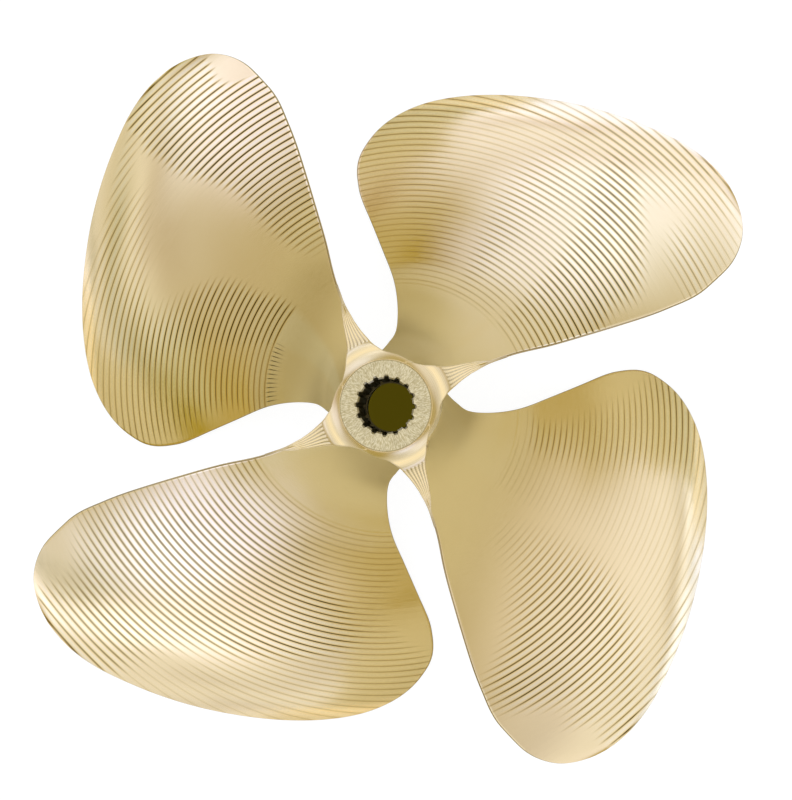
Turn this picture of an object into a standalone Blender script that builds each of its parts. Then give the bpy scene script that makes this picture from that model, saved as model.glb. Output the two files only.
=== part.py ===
"""Four-bladed ship propeller in one bronze casting, lying on its leading edges with the nut end up.

Metres, +Z up. The shaft axis is the Z axis, and the origin is on it at floor level. The blades form a
left-handed screw. Angles turn anticlockwise as seen from above, from 0 along +X. Heights in the tables
are measured from the pitch datum, the level at which every section crosses DATUM_ANGLE.
"""

import math

import bmesh
import bpy

# Driving dimensions of the whole propeller
DIAMETER = 0.700
TIP_RADIUS = DIAMETER / 2
BLADE_COUNT = 4
BLADE_STEP = math.tau / BLADE_COUNT
DATUM_ANGLE = math.radians(52)
DATUM_HEIGHT = 0.1230

# Hub: (radius, height), from the nut end down the outer side to the shaft end
HUB_TOP = 0.064
HUB_BOTTOM = -0.121
HUB_PROFILE = (
    (0.0385, HUB_TOP),
    (0.0400, 0.0625),
    (0.0415, 0.0570),
    (0.0440, 0.0450),
    (0.0470, 0.0290),
    (0.0495, 0.0120),
    (0.0512, -0.0060),
    (0.0520, -0.0260),
    (0.0520, -0.0460),
    (0.0515, -0.0700),
    (0.0503, -0.0940),
    (0.0490, -0.1130),
    (0.0485, -0.1190),
    (0.0465, HUB_BOTTOM),
)
HUB_SEGMENTS = 64

# Bore: a splined socket from the nut end, then a plain bore to the shaft end
SPLINE_TEETH = 16
SPLINE_MINOR_RADIUS = 0.0231
SPLINE_MAJOR_RADIUS = 0.0253
SPLINE_LENGTH = 0.104
GROOVE_FLOOR_SHARE = 0.24
GROOVE_MOUTH_SHARE = 0.44
FIRST_GROOVE_ANGLE = math.radians(-1.9)
LAND_STEPS = 2
MOUTH_CHAMFER = 0.0012
PLAIN_BORE_RADIUS = 0.0220
PLAIN_BORE_SEGMENTS = 48
CUT_OVERRUN = 0.010

# Blade outline: each row is (share of the tip radius, value)
PITCH = ((0.10, 0.630), (0.20, 0.630), (0.30, 0.705), (0.40, 0.835), (0.55, 0.910), (1.00, 0.910))
MID_ANGLE = (
    (0.10, 54.0),
    (0.20, 54.5),
    (0.33, 55.8),
    (0.52, 58.4),
    (0.62, 59.2),
    (0.72, 58.0),
    (0.82, 52.7),
    (0.90, 42.3),
    (0.96, 36.6),
    (1.00, 34.9),
)
HALF_WIDTH_ANGLE = (
    (0.10, 33.0),
    (0.20, 32.0),
    (0.26, 31.8),
    (0.33, 33.4),
    (0.42, 37.1),
    (0.52, 40.3),
    (0.62, 43.4),
    (0.72, 45.4),
    (0.82, 43.9),
    (0.90, 33.9),
    (0.96, 27.6),
    (1.00, 25.0),
)
TIP_ROUNDING_POWER = 4
TRAILING_CUTBACK_ANGLE = (
    (0.10, 40.0),
    (0.137, 25.5),
    (0.155, 16.5),
    (0.18, 8.5),
    (0.21, 4.0),
    (0.25, 1.0),
    (0.30, 0.0),
    (1.00, 0.0),
)

# Blade sections: greatest thickness at the axis and at the tip, the two edges, and the hollow of the face
THICKNESS_AT_AXIS = 0.045 * DIAMETER
THICKNESS_AT_TIP = 0.0045 * DIAMETER
THICKNESS_CURVE_POWER = 0.8
TRAILING_EDGE_THICKNESS = 0.0024
LEADING_EDGE_THICKNESS = 0.0030
TRAILING_EDGE_ROUNDNESS = 0.14
LEADING_EDGE_ROUNDNESS = 0.50
FACE_HOLLOW = ((0.10, 0.0), (0.22, 0.004), (0.40, 0.022), (0.55, 0.030), (1.00, 0.030))

# Root fillets, by which each blade spreads over the hub
FILLET_BASE_RADIUS = 0.052
BACK_FILLET = 0.050
LEADING_FILLET = 0.018
FACE_FILLET = 0.010
FILLET_START = 0.0012

# How finely a blade is divided
SECTION_RADII = (
    0.0330, 0.0420, 0.0490, 0.0532, 0.0580, 0.0640, 0.0720, 0.0820, 0.0940, 0.1080,
    0.1250, 0.1450, 0.1660, 0.1880, 0.2080, 0.2260, 0.2420, 0.2560, 0.2680, 0.2800,
    0.2920, 0.3030, 0.3130, 0.3220, 0.3300, 0.3370, 0.3425, 0.3465, 0.3490,
)
CHORD_STEPS = 13
EDGE_STEPS = 4

BRONZE_COLOUR = (0.72, 0.58, 0.30, 1.0)
BRONZE_ROUGHNESS = 0.35


def table_value(table, share):
    """Smooth value of a table at a share of the tip radius, held level past its ends."""
    shares = [row[0] for row in table]
    values = [row[1] for row in table]
    if share <= shares[0]:
        return values[0]
    if share >= shares[-1]:
        return values[-1]
    i = max(k for k, known in enumerate(shares) if known <= share)
    i = min(i, len(shares) - 2)

    def slope(k):
        low, high = max(k - 1, 0), min(k + 1, len(shares) - 1)
        return (values[high] - values[low]) / (shares[high] - shares[low])

    gap = shares[i + 1] - shares[i]
    t = (share - shares[i]) / gap
    return (
        values[i] * (2 * t**3 - 3 * t**2 + 1)
        + values[i + 1] * (3 * t**2 - 2 * t**3)
        + slope(i) * gap * (t**3 - 2 * t**2 + t)
        + slope(i + 1) * gap * (t**3 - t**2)
    )


def fillet_spread(fillet_radius, radius):
    """How far a round fillet stands out from the blade at this radius."""
    rise = max(radius - FILLET_BASE_RADIUS, FILLET_START)
    if rise >= fillet_radius:
        return 0.0
    return fillet_radius - math.sqrt(fillet_radius**2 - (fillet_radius - rise) ** 2)


def edge_angles(radius):
    """Angles of the trailing and leading edges, in radians."""
    share = radius / TIP_RADIUS
    middle = table_value(MID_ANGLE, share)
    half = table_value(HALF_WIDTH_ANGLE, share) * math.sqrt(1 - share**TIP_ROUNDING_POWER)
    cutback = table_value(TRAILING_CUTBACK_ANGLE, share)
    return math.radians(middle - half + cutback), math.radians(middle + half)


def rounded_edge(along, start, end, roundness):
    """Points round one edge of a section, from offset start to offset end, at a chord distance."""
    width = end - start
    points = []
    for step in range(1, EDGE_STEPS):
        turn = math.pi * step / EDGE_STEPS
        points.append((along + roundness * width * math.sin(turn), start + width * (1 - math.cos(turn)) / 2))
    return points


def section_outline(radius):
    """One section as (distance along the chord, offset towards the back), round from the trailing edge."""
    share = radius / TIP_RADIUS
    trailing, leading = edge_angles(radius)
    pitch_angle = math.atan(table_value(PITCH, share) / (math.tau * radius))
    chord = radius * (leading - trailing) / math.cos(pitch_angle)
    thickness = THICKNESS_AT_AXIS + (THICKNESS_AT_TIP - THICKNESS_AT_AXIS) * share
    hollow = table_value(FACE_HOLLOW, share) * chord
    back, front = fillet_spread(BACK_FILLET, radius), fillet_spread(FACE_FILLET, radius)
    lead = fillet_spread(LEADING_FILLET, radius)
    face, rear = [], []
    for step in range(CHORD_STEPS):
        s = (1 - math.cos(math.pi * step / (CHORD_STEPS - 1))) / 2
        bulge = (4 * s * (1 - s)) ** THICKNESS_CURVE_POWER
        edge = TRAILING_EDGE_THICKNESS * (1 - s) + LEADING_EDGE_THICKNESS * s
        along = s * (chord + lead)
        low = 4 * hollow * s * (1 - s)
        spread = back * (1 - s**3) + lead * s**3
        face.append((along, low - front * s))
        rear.append((along, low + edge + (thickness - edge) * bulge + spread))
    return (
        face
        + rounded_edge(chord + lead, face[-1][1], rear[-1][1], LEADING_EDGE_ROUNDNESS)
        + rear[::-1]
        + rounded_edge(0.0, rear[0][1], face[0][1], TRAILING_EDGE_ROUNDNESS)
    )


def wrap_on_cylinder(radius, outline, turn):
    """Lays a section outline along its screw line on the cylinder of this radius."""
    pitch = table_value(PITCH, radius / TIP_RADIUS)
    pitch_angle = math.atan(pitch / (math.tau * radius))
    trailing, _ = edge_angles(radius)
    trailing_height = -pitch * (trailing - DATUM_ANGLE) / math.tau
    points = []
    for along, offset in outline:
        across = along * math.cos(pitch_angle) - offset * math.sin(pitch_angle)
        angle = trailing + across / radius + turn
        height = trailing_height - along * math.sin(pitch_angle) - offset * math.cos(pitch_angle)
        points.append((radius * math.cos(angle), radius * math.sin(angle), height + DATUM_HEIGHT))
    return points


def mesh_object(name, mesh_data, collection):
    """A new object from a bmesh, with its faces turned outwards."""
    bmesh.ops.recalc_face_normals(mesh_data, faces=mesh_data.faces)
    mesh = bpy.data.meshes.new(name)
    mesh_data.to_mesh(mesh)
    mesh_data.free()
    made = bpy.data.objects.new(name, mesh)
    collection.objects.link(made)
    return made


def blade(number, collection):
    """One blade as a loft of its sections, from inside the hub to the tip."""
    data = bmesh.new()
    loops = []
    for radius in SECTION_RADII:
        points = wrap_on_cylinder(radius, section_outline(radius), number * BLADE_STEP)
        loops.append([data.verts.new(point) for point in points])
    for inner, outer in zip(loops, loops[1:]):
        for i, vertex in enumerate(inner):
            j = (i + 1) % len(inner)
            data.faces.new((vertex, inner[j], outer[j], outer[i]))
    data.faces.new(loops[0])
    data.faces.new(loops[-1])
    return mesh_object(f"blade_{number + 1}_solid", data, collection)


def turned(name, profile, segments, collection):
    """A solid of revolution about the Z axis, from a profile that runs down its outer side."""
    mesh = bpy.data.meshes.new(name)
    points = [(0.0, profile[0][1]), *profile, (0.0, profile[-1][1])]
    mesh.from_pydata(
        [(radius, 0.0, height + DATUM_HEIGHT) for radius, height in points],
        [(i, i + 1) for i in range(len(points) - 1)],
        [],
    )
    made = bpy.data.objects.new(name, mesh)
    collection.objects.link(made)
    screw = made.modifiers.new("Turn", "SCREW")
    screw.axis = "Z"
    screw.steps = screw.render_steps = segments
    screw.use_merge_vertices = True
    screw.merge_threshold = 0.00001
    return made


def spline_outline():
    """Outline of the splined socket: broad lands at the minor radius and narrow grooves between them."""
    pitch = math.tau / SPLINE_TEETH
    mouth, floor = pitch * GROOVE_MOUTH_SHARE / 2, pitch * GROOVE_FLOOR_SHARE / 2
    points = []
    for tooth in range(SPLINE_TEETH):
        centre = FIRST_GROOVE_ANGLE + tooth * pitch
        for angle, radius in (
            (-mouth, SPLINE_MINOR_RADIUS),
            (-floor, SPLINE_MAJOR_RADIUS),
            (floor, SPLINE_MAJOR_RADIUS),
            (mouth, SPLINE_MINOR_RADIUS),
        ):
            points.append((radius * math.cos(centre + angle), radius * math.sin(centre + angle)))
        for step in range(1, LAND_STEPS):
            angle = centre + mouth + (pitch - 2 * mouth) * step / LAND_STEPS
            points.append((SPLINE_MINOR_RADIUS * math.cos(angle), SPLINE_MINOR_RADIUS * math.sin(angle)))
    return points


def spline_cutter(collection):
    """The splined socket as a prism from above the nut end down to the socket's floor."""
    top, bottom = HUB_TOP + CUT_OVERRUN, HUB_TOP - SPLINE_LENGTH
    data = bmesh.new()
    corners = [data.verts.new((x, y, bottom + DATUM_HEIGHT)) for x, y in spline_outline()]
    face = data.faces.new(corners)
    grown = bmesh.ops.extrude_face_region(data, geom=[face])["geom"]
    raised = [item for item in grown if isinstance(item, bmesh.types.BMVert)]
    bmesh.ops.translate(data, verts=raised, vec=(0, 0, top - bottom))
    return mesh_object("spline_cutter", data, collection)


def combine(target, other, operation):
    """Adds a Boolean by another object, which is then only a helper."""
    boolean = target.modifiers.new(other.name, "BOOLEAN")
    boolean.operation = operation
    boolean.solver = "EXACT"
    boolean.object = other
    other.hide_render = True
    other.display_type = "WIRE"


def bronze():
    """Bare machined bronze."""
    material = bpy.data.materials.new("bronze")
    material.use_nodes = True
    shader = material.node_tree.nodes["Principled BSDF"]
    shader.inputs["Base Color"].default_value = BRONZE_COLOUR
    shader.inputs["Metallic"].default_value = 1.0
    shader.inputs["Roughness"].default_value = BRONZE_ROUGHNESS
    return material


def main():
    """Builds the casting: hub and blades joined, then the bore cut through."""
    for old in list(bpy.data.objects):
        bpy.data.objects.remove(old)
    parts = bpy.data.collections.new("ship_propeller")
    helpers = bpy.data.collections.new("helpers")
    for collection in (parts, helpers):
        bpy.context.scene.collection.children.link(collection)

    casting = turned("propeller_casting", HUB_PROFILE, HUB_SEGMENTS, parts)
    for number in range(BLADE_COUNT):
        combine(casting, blade(number, helpers), "UNION")

    plain_bore = (
        (PLAIN_BORE_RADIUS, HUB_TOP - CUT_OVERRUN),
        (PLAIN_BORE_RADIUS, HUB_BOTTOM - CUT_OVERRUN),
    )
    groove_depth = SPLINE_MAJOR_RADIUS - SPLINE_MINOR_RADIUS
    mouth = (
        (SPLINE_MAJOR_RADIUS + MOUTH_CHAMFER + CUT_OVERRUN, HUB_TOP + CUT_OVERRUN),
        (SPLINE_MINOR_RADIUS - MOUTH_CHAMFER, HUB_TOP - 2 * MOUTH_CHAMFER - groove_depth),
    )
    combine(casting, spline_cutter(helpers), "DIFFERENCE")
    combine(casting, turned("plain_bore_cutter", plain_bore, PLAIN_BORE_SEGMENTS, helpers), "DIFFERENCE")
    combine(casting, turned("mouth_cutter", mouth, PLAIN_BORE_SEGMENTS, helpers), "DIFFERENCE")
    casting.data.materials.append(bronze())


main()
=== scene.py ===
"""Looks of the four-bladed bronze ship propeller: blades, root webs, hub, finishes, floor, light, camera.

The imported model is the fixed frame. Metres, +Z up along the shaft axis, origin on the axis at floor
level. Angles turn anticlockwise as seen from above, from 0 along +X. Heights in the tables are measured
from the pitch datum, the level at which every blade section crosses the datum angle.
"""

import logging
import math
from dataclasses import dataclass, field
from enum import Enum

import bmesh
import bpy
from mathutils import Matrix, Vector, noise


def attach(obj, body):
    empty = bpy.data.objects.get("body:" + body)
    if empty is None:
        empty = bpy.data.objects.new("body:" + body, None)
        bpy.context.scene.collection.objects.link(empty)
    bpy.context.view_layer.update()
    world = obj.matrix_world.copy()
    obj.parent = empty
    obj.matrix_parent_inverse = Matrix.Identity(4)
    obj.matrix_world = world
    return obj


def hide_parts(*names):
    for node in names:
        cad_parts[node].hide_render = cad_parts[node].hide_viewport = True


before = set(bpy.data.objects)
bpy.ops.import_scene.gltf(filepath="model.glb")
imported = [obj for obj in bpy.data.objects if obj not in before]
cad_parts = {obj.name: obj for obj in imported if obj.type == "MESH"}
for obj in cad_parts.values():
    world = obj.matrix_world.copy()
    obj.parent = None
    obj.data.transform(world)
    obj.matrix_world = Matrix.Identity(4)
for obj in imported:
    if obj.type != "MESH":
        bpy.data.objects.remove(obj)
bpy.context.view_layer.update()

LOG = logging.getLogger("propeller")
BODY = "root"
CAD_NODE = "propeller_casting"

# The map and the point attributes that the finishes read: where a point lies in its section, the painted
# shade of the cutter lines there, the chatter marks with the painted shade in the flute valleys, and the
# painted highlight.
LAY, LINE_SHADE, CHATTER_AND_SHADE, PAINTED_HIGHLIGHT = "lay", "line_shade", "chatter_and_valley_shade", "painted_highlight"

Table = tuple[tuple[float, float], ...]
Colour = tuple[float, float, float]
Span = tuple[float, float, float]


def table_value(table: Table, at: float) -> float:
    """Smooth value of a table, held level past its ends.

    Args:
        table: Rows of (place, value), with the places rising.
        at: The place to read.

    Returns:
        The value there, on a smooth curve through the rows.
    """
    if at <= table[0][0]:
        return table[0][1]
    if at >= table[-1][0]:
        return table[-1][1]
    low = max(k for k, row in enumerate(table) if row[0] <= at)
    before, start, end, after = (table[min(max(low + k, 0), len(table) - 1)] for k in (-1, 0, 1, 2))
    gap = end[0] - start[0]
    rise_in = (end[1] - before[1]) / (end[0] - before[0])
    rise_out = (after[1] - start[1]) / (after[0] - start[0])
    t = (at - start[0]) / gap
    return (
        start[1] * (2 * t**3 - 3 * t**2 + 1)
        + end[1] * (3 * t**2 - 2 * t**3)
        + rise_in * gap * (t**3 - 2 * t**2 + t)
        + rise_out * gap * (t**3 - t**2)
    )


def smooth_step(low: float, high: float, value: float) -> float:
    """Share from 0 at low to 1 at high, with level ends.

    Args:
        low: Value that gives 0.
        high: Value that gives 1.
        value: The value to place between them.

    Returns:
        The share, from 0 to 1.
    """
    share = min(max((value - low) / (high - low), 0.0), 1.0)
    return share * share * (3 - 2 * share)


class Zone(Enum):
    """Part of a blade section, in the order round it."""

    FACE = 0
    LEADING_EDGE = 1
    BACK = 2
    TRAILING_END = 3


@dataclass(frozen=True)
class HubForm:
    """Outer form and bore of the hub, which the blade roots are fitted to."""

    datum_height: float = 0.1230
    top: float = 0.0640
    bottom: float = -0.1210
    barrel: Table = (
        (-0.1190, 0.0485), (-0.1130, 0.0490), (-0.0940, 0.0491), (-0.0700, 0.0480), (-0.0460, 0.0467),
        (-0.0260, 0.0457), (-0.0060, 0.0449), (0.0120, 0.0442), (0.0290, 0.0434), (0.0450, 0.0423),
        (0.0570, 0.0409), (0.0625, 0.0398),
    )
    face_radius: float = 0.0387
    teeth: int = 16
    first_groove: float = math.radians(-1.9)
    land_radius: float = 0.0231
    groove_radius: float = 0.0253
    groove_floor_share: float = 0.20
    groove_mouth_share: float = 0.50
    socket_length: float = 0.104
    plain_radius: float = 0.0220
    mouth_radius: float = 0.0257
    mouth_chamfer: float = 0.0014

    @property
    def top_level(self) -> float:
        """Level of the ring round the socket over the floor."""
        return self.datum_height + self.top

    def radius_at(self, height: float) -> float:
        """Radius of the barrel at a height above the pitch datum."""
        return table_value(self.barrel, height)

    def groove_depth(self, angle: float) -> float:
        """How far the splined socket is cut past its lands at an angle.

        Args:
            angle: Angle round the shaft axis, in radians.

        Returns:
            Depth in metres, nothing on a land.
        """
        pitch = math.tau / self.teeth
        turn = ((angle - self.first_groove) / pitch + 0.5) % 1.0 - 0.5
        off_centre = 2 * abs(turn)
        share = 1 - smooth_step(self.groove_floor_share, self.groove_mouth_share, off_centre)
        return share * (self.groove_radius - self.land_radius)


@dataclass(frozen=True)
class Section:
    """Values of one blade section, the same all round it."""

    radius: float
    trailing: float
    trailing_height: float
    chord: float
    cosine: float
    sine: float
    thickness: float
    hollow: float


@dataclass(frozen=True)
class BladeForm:
    """Form of a blade: screw line, outline, thickness, hollow of the face and root fillets."""

    tip_radius: float = 0.350
    datum_angle: float = math.radians(52)
    pitch: Table = (
        (0.10, 0.630), (0.20, 0.630), (0.30, 0.705), (0.40, 0.835), (0.55, 0.910), (1.00, 0.910),
    )
    middle_angle: Table = (
        (0.10, 54.0), (0.20, 54.5), (0.33, 55.8), (0.52, 58.4), (0.62, 59.2), (0.72, 58.0), (0.82, 52.7),
        (0.90, 42.3), (0.96, 36.6), (1.00, 34.9),
    )
    half_width_angle: Table = (
        (0.10, 33.0), (0.20, 32.0), (0.26, 31.8), (0.33, 33.4), (0.42, 37.1), (0.52, 40.3), (0.62, 43.4),
        (0.72, 45.4), (0.82, 43.9), (0.90, 33.9), (0.96, 27.6), (1.00, 25.0),
    )
    tip_rounding_power: int = 4
    cutback_angle: Table = (
        (0.10, 40.0), (0.137, 25.5), (0.155, 16.5), (0.18, 8.5), (0.21, 4.0), (0.25, 1.0), (0.30, 0.0),
        (1.00, 0.0),
    )
    axis_thickness: float = 0.0315
    tip_thickness: float = 0.00315
    bulge_power: float = 0.8
    trailing_thickness: float = 0.0024
    leading_thickness: float = 0.0030
    trailing_roundness: float = 0.14
    leading_roundness: float = 0.50
    face_hollow: Table = ((0.10, 0.0), (0.22, 0.004), (0.40, 0.022), (0.55, 0.030), (1.00, 0.030))
    back_fillet: float = 0.050
    trailing_fillet_share: float = 0.52
    fillet_change: tuple[float, float] = (0.35, 0.8)
    leading_fillet: float = 0.028
    face_fillet: float = 0.020
    tip_round_over: float = 0.0015

    def section(self, radius: float, hub: HubForm) -> Section:
        """Values of the section at a radius.

        Args:
            radius: Distance from the shaft axis, in metres.
            hub: The hub, for the level of the pitch datum.

        Returns:
            The section's values.
        """
        share = min(radius / self.tip_radius, 1.0)
        middle = table_value(self.middle_angle, share)
        half = table_value(self.half_width_angle, share)
        half *= math.sqrt(1 - share**self.tip_rounding_power)
        trailing = math.radians(middle - half + table_value(self.cutback_angle, share))
        leading = math.radians(middle + half)
        pitch = table_value(self.pitch, share)
        slope = math.atan(pitch / (math.tau * radius))
        chord = radius * (leading - trailing) / math.cos(slope)
        return Section(
            radius=radius,
            trailing=trailing,
            trailing_height=hub.datum_height - pitch * (trailing - self.datum_angle) / math.tau,
            chord=chord,
            cosine=math.cos(slope),
            sine=math.sin(slope),
            thickness=self.axis_thickness + (self.tip_thickness - self.axis_thickness) * share,
            hollow=table_value(self.face_hollow, share) * chord,
        )

    def tip_share(self, radius: float) -> float:
        """Share of the thickness left where the tip is rounded over."""
        past = max(radius - (self.tip_radius - self.tip_round_over), 0.0) / self.tip_round_over
        return math.sqrt(max(1 - past * past, 0.0))


@dataclass(frozen=True)
class MilledPasses:
    """Cutter passes left on the blades: fine grooves on circles round the shaft axis."""

    first_line: float = 0.1155
    pitch: float = 0.00541
    count: int = 43
    start: float = 0.1172
    half_width: float = 0.00038
    depth: float = 0.00014
    crown: float = 0.00003
    root_step: float = 0.00006
    edge_fade: float = 0.0016
    least_share: float = 0.1
    share_gain: float = 1.3
    faint_darkness: float = 1.7
    strong_darkness: float = 1.6
    row_phases: tuple[float, ...] = (0.0, 0.07, 0.105, 0.30, 0.50, 0.70, 0.895, 0.93)

    def depth_at(self, radius: float, strength: float) -> float:
        """Depth of the relief at a radius, measured into the metal.

        Args:
            radius: Distance from the shaft axis, in metres.
            strength: How clearly the passes are cut there, from 0 to 1.

        Returns:
            Depth in metres.
        """
        if radius < self.start:
            return self.root_step
        phase = ((radius - self.first_line) / self.pitch) % 1.0
        away = min(phase, 1 - phase) * self.pitch
        groove = self.depth * max(1 - away / self.half_width, 0.0)
        share = min(self.least_share + self.share_gain * strength, 1.0)
        return share * (groove + self.crown * (2 * phase - 1) ** 2)

    def darkness(self, strength: float) -> float:
        """How dark the painted shade in the lines of a strength is: it rises fast at first, and again for
        the clearest.
        """
        return self.faint_darkness * (1 - (1 - strength) ** 2) + self.strong_darkness * strength**3

    def row_radii(self) -> list[float]:
        """Radii of the mesh rows that carry the passes, from the first line to the last."""
        return [
            self.first_line + (number + phase) * self.pitch
            for number in range(1, self.count)
            for phase in self.row_phases
        ]


@dataclass(frozen=True)
class LineZone:
    """Part of a blade's face where the cutter lines show, cut deeper and darker with painted shade, given by
    rows down the blade.

    Each row is (radius, first chord share, last chord share, strength).
    """

    rows: tuple[tuple[float, float, float, float], ...]
    soft: float = 0.05

    def span(self, radius: float) -> Span:
        """Reads the zone's rows at a radius.

        Args:
            radius: Distance from the shaft axis, in metres.

        Returns:
            First chord share, last chord share and strength there.
        """
        first, last, strength = (
            table_value(tuple((row[0], row[column]) for row in self.rows), radius) for column in (1, 2, 3)
        )
        return first, last, strength

    def weight(self, span: Span, share: float) -> float:
        """Strength of the zone at one point.

        Args:
            span: The zone's span at the point's radius.
            share: The point's chord share.

        Returns:
            The strength, nothing outside the zone.
        """
        first, last, strength = span
        rise = smooth_step(first - self.soft, first + self.soft, share)
        return strength * rise * (1 - smooth_step(last - self.soft, last + self.soft, share))


@dataclass(frozen=True)
class MarksAndPaintedLight:
    """Marks and painted light of one blade: its lines with their painted shade, the chatter marks at its
    root line, and a painted highlight on its tip.

    The chatter marks run from one chord share to another, and a start past 1 leaves them out.
    """

    zones: tuple[LineZone, ...]
    back_strength: float = 0.25
    most_strength: float = 0.9
    chatter: tuple[float, float] = (2.0, 2.0)
    chatter_rise: tuple[float, float] = (0.106, 0.1165)
    chatter_fall: tuple[float, float] = (0.1178, 0.1190)
    chatter_lead: tuple[float, float] = (-0.02, 0.05)
    tip_highlight: float = 0.0
    highlight_shares: tuple[float, float] = (0.72, 0.95)
    highlight_radii: tuple[float, float] = (0.245, 0.285)

    def spans(self, radius: float) -> list[Span]:
        """Spans of all the zones at a radius."""
        return [zone.span(radius) for zone in self.zones]

    def strength(self, spans: list[Span], share: float) -> float:
        """How deep the lines are cut and how dark their painted shade is at one point of the face.

        Args:
            spans: Spans of the zones at the point's radius.
            share: The point's chord share.

        Returns:
            The strength, from 0 to the most that a face has.
        """
        total = sum(zone.weight(span, share) for zone, span in zip(self.zones, spans))
        return min(max(total, 0.0), self.most_strength)

    def chatter_at(self, radius: float, share: float) -> float:
        """How dark the chatter marks are at one point of the face.

        Args:
            radius: Distance from the shaft axis, in metres.
            share: The point's chord share.

        Returns:
            The darkness, from 0 to 1.
        """
        band = smooth_step(*self.chatter_rise, radius) * (1 - smooth_step(*self.chatter_fall, radius))
        first, last = self.chatter
        before, after = self.chatter_lead
        return band * smooth_step(first + before, first + after, share) * float(share < last)

    def highlight_at(self, radius: float, share: float, zone: float) -> float:
        """How much painted highlight one point of the face or the leading edge has.

        Args:
            radius: Distance from the shaft axis, in metres.
            share: The point's chord share.
            zone: Value of the point's zone, 0 on the face and 1 on the leading edge.

        Returns:
            The share of painted highlight, from 0 to 1.
        """
        side = max(smooth_step(*self.highlight_shares, share), zone)
        return self.tip_highlight * side * smooth_step(*self.highlight_radii, radius)


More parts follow.
